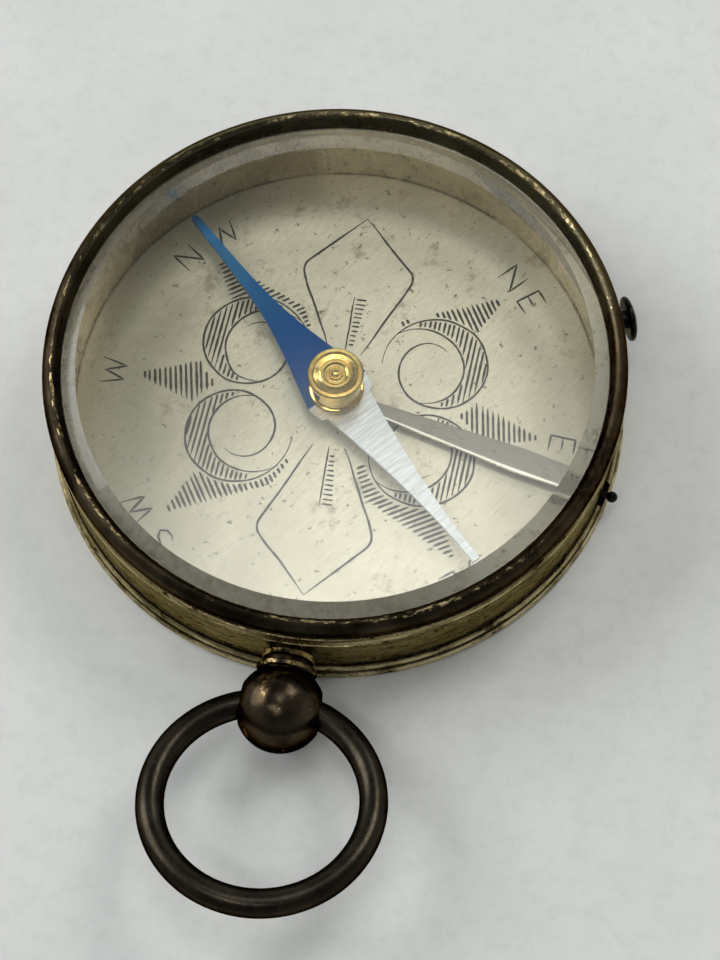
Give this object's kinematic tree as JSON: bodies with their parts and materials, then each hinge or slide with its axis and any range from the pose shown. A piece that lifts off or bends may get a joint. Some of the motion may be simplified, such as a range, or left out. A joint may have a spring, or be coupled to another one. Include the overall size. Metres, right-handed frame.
{
  "type": "pocket compass",
  "caption": "Round open-faced pocket compass: glazed brass drum with engraved dial, pivoting needle, push-in needle lock worked by a hidden lever, and a ball pendant with a swinging ring.",
  "frame": {"origin": "centre of the case's flat back face", "axes": "+Z out through the glass along the needle's axis, -Y towards the pendant, +X towards the lock button's side"},
  "size_m": [0.0466, 0.0668, 0.0096],
  "materials": {
    "aged_brass": "worn satin, brown stains",
    "dark_bronze": "dark brown patina with worn bright specks",
    "glass": "polished",
    "silvered_brass": "silvered, brushed, lightly pitted",
    "brass": "turned",
    "gilt_brass": "polished, concentric turning marks",
    "steel": "ground",
    "needle_steel": "north half heat blued, south half bright",
    "black_metal": "blackened, satin",
    "agate": "polished"
  },
  "bodies": {
    "case": {"case_back": "aged_brass", "case_band": "aged_brass", "bezel": "dark_bronze", "crystal": "glass", "reflector_ring": "silvered_brass", "dial_plate": "silvered_brass", "pivot_post": "brass", "pivot_point": "steel", "button_bush": "dark_bronze", "pendant_collar": "aged_brass", "pendant_ball": "dark_bronze", "pendant_nut": "brass"},
    "needle": {"needle_blade": "needle_steel", "needle_cap": "gilt_brass", "cap_jewel": "agate", "cap_collar": "brass"},
    "lift_collar": {"lift_collar": "brass"},
    "lever": {"lifter_lever": "steel", "lever_retainer": "black_metal"},
    "button": {"button_head": "black_metal", "button_stem": "steel"},
    "ring": {"bow_ring": "dark_bronze"}
  },
  "joints": [
    {"name": "lock_push", "type": "slide", "parent": "case", "child": "button", "axis": [-0.9291, -0.3697, 0], "range_m": [0, 0.0006]},
    {"name": "lever_rock", "type": "hinge", "parent": "case", "child": "lever", "pos_m": [0.02149, -0.00516, 0.0016], "axis": [0.2334, 0.9724, 0], "range_deg": [0, 4.8]},
    {"name": "collar_lift", "type": "slide", "parent": "case", "child": "lift_collar", "axis": [0, 0, 1], "range_m": [0, 0.00185]},
    {"name": "needle_turn", "type": "hinge", "parent": "lift_collar", "child": "needle", "pos_m": [0, 0, 0.00455], "axis": [0, 0, 1], "continuous": true},
    {"name": "ring_swing", "type": "hinge", "parent": "case", "child": "ring", "pos_m": [0, -0.02712, 0.00415], "axis": [1, 0, 0], "range_deg": [-101, 128]}
  ],
  "couplings": [
    {"joint": "lever_rock", "follows": "lock_push", "rad_per_m": 139.5},
    {"joint": "collar_lift", "follows": "lock_push", "ratio": 3.07}
  ]
}
